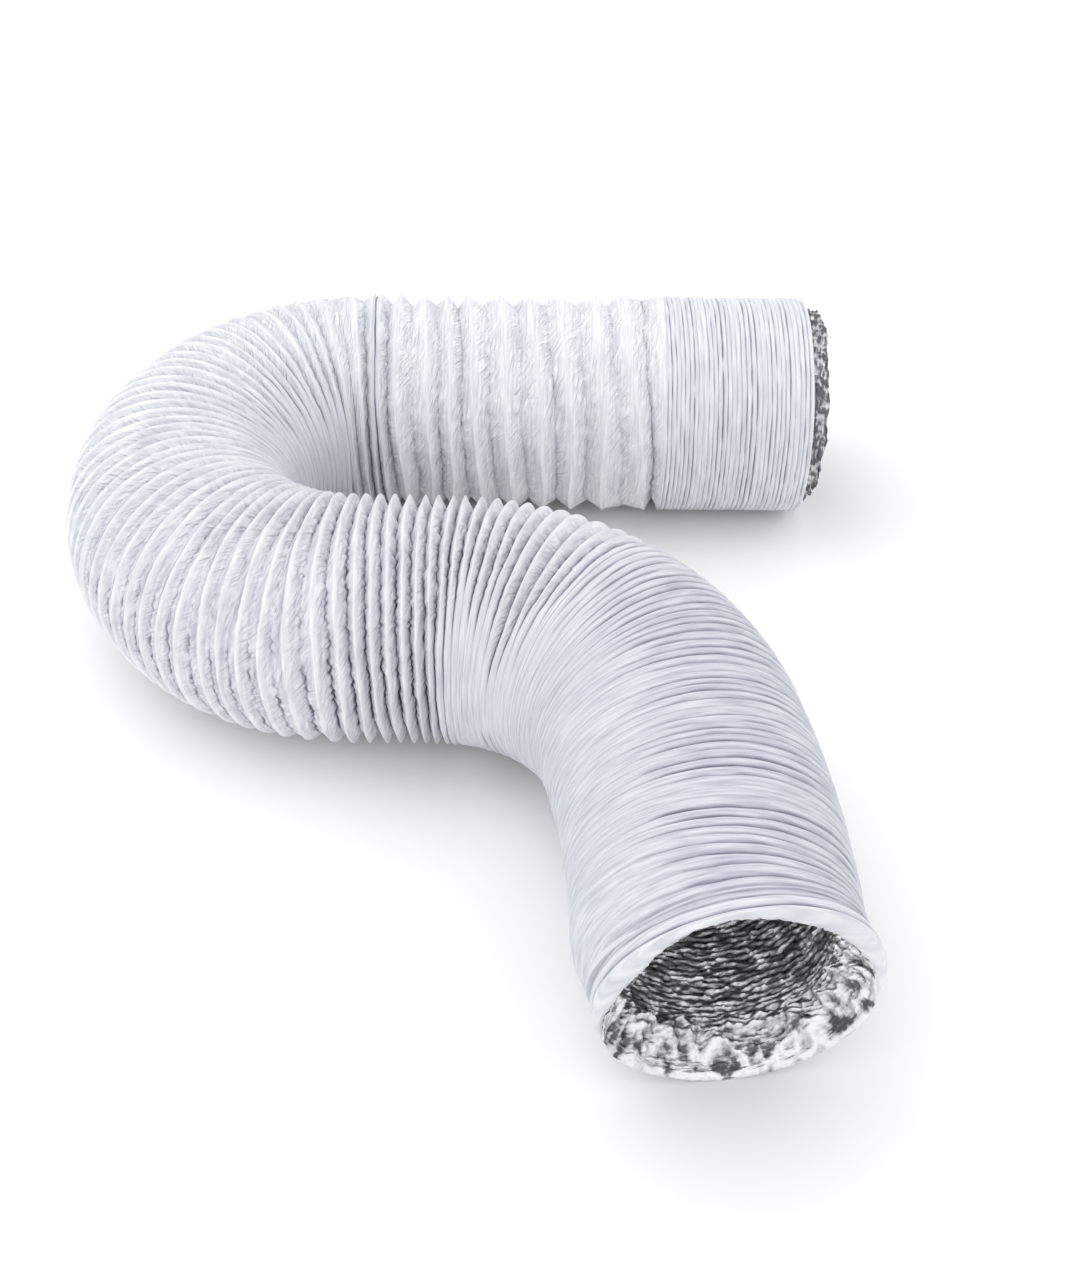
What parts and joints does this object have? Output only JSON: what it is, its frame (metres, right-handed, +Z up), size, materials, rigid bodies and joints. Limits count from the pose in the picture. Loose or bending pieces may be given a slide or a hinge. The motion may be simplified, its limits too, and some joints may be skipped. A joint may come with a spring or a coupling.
{
  "type": "air conditioner exhaust hose",
  "caption": "Flexible white exhaust hose with a foil lining, lying in a long hook with open and closed folds.",
  "frame": {"origin": "middle of the hose's box, on the floor", "axes": "+Z up, +X out of the far mouth, and -Y out of the near mouth but for 8 degrees"},
  "size_m": [0.5164, 0.6118, 0.1537],
  "materials": {
    "white_film": "satin",
    "foil": "polished"
  },
  "bodies": {
    "root": {"jacket": "white_film", "liner": "foil"}
  },
  "joints": []
}
